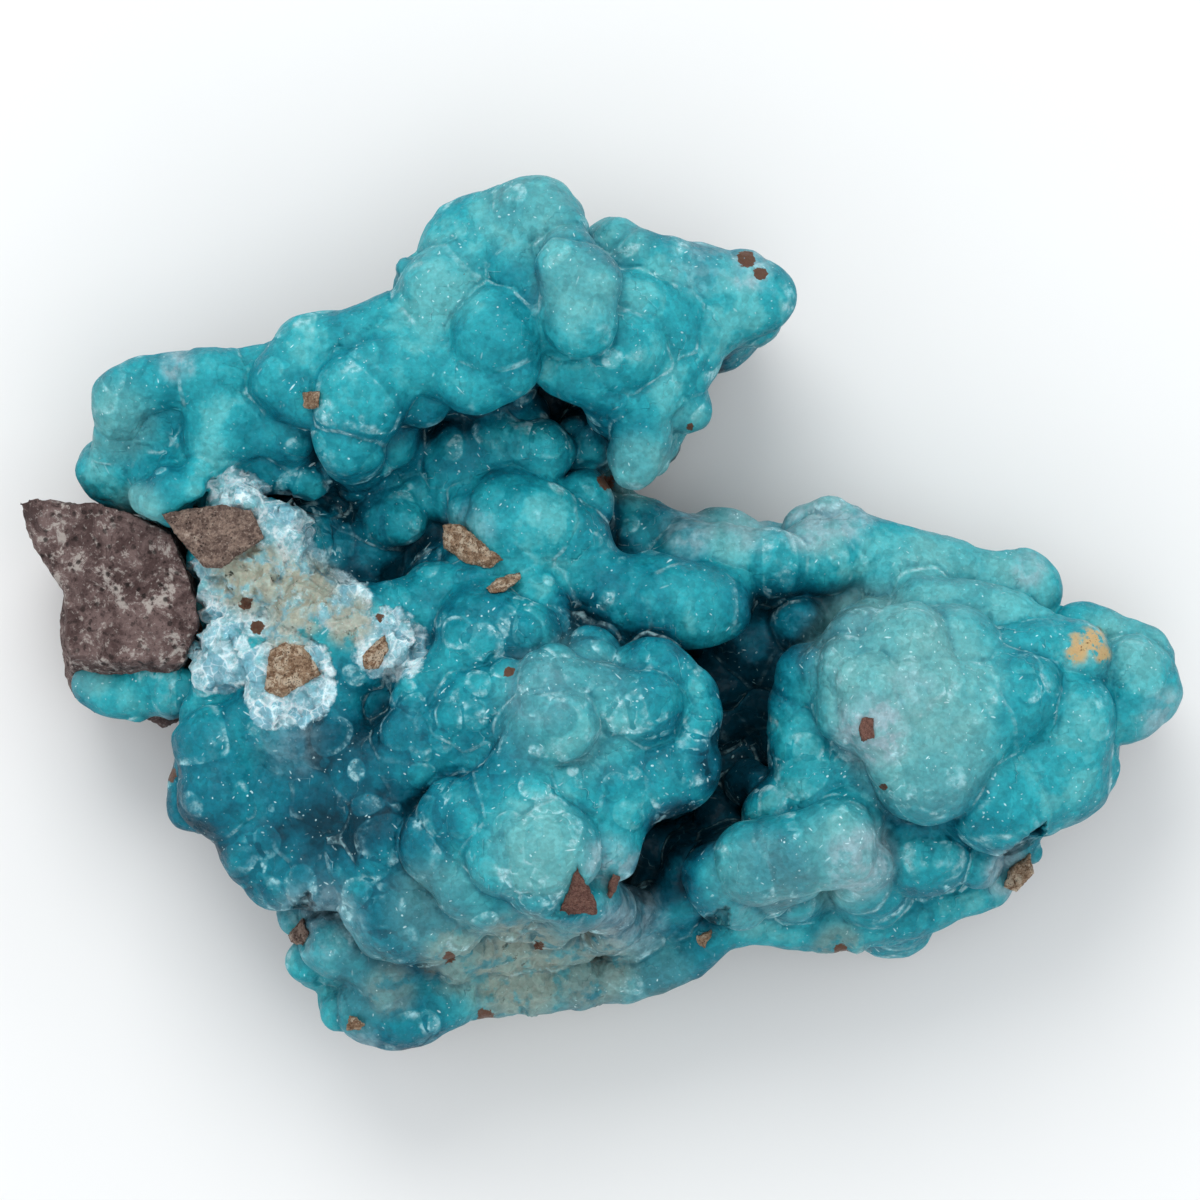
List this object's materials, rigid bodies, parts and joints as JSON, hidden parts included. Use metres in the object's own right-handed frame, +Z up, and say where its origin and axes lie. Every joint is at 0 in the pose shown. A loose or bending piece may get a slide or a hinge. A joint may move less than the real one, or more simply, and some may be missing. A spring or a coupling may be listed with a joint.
{
  "type": "smithsonite specimen",
  "caption": "Hand-sized mineral specimen: blue-green botryoidal smithsonite crust on brown host rock, lying on its flat broken back.",
  "frame": {"origin": "on the floor under the middle of the specimen's bounding box", "axes": "+Z up, out of the crust's front as it lies on its broken back; +X towards the pointed right arm, along the longest extent; +Y towards the tower"},
  "size_m": [0.117, 0.088, 0.0434],
  "materials": {
    "smithsonite": "waxy, slightly translucent blue-green botryoidal crust with fine crystal sparkle",
    "host_rock": "rough broken brown rock with pale grey patches",
    "rock_chip": "rough tan to red-brown rock"
  },
  "bodies": {
    "root": {"smithsonite_crust": "smithsonite", "matrix_rock": "host_rock", "matrix_chip_upper": "rock_chip", "matrix_chip_left": "rock_chip", "matrix_chip_orange": "rock_chip", "matrix_chip_tan": "rock_chip", "matrix_chip_tan_small": "rock_chip", "matrix_chip_square": "rock_chip", "matrix_chip_red": "rock_chip", "matrix_chip_lower": "rock_chip", "matrix_chip_lower_small": "rock_chip", "matrix_chip_right": "rock_chip", "matrix_chip_foot": "rock_chip", "matrix_chip_mauve": "rock_chip", "matrix_chip_heel": "rock_chip"}
  },
  "joints": []
}
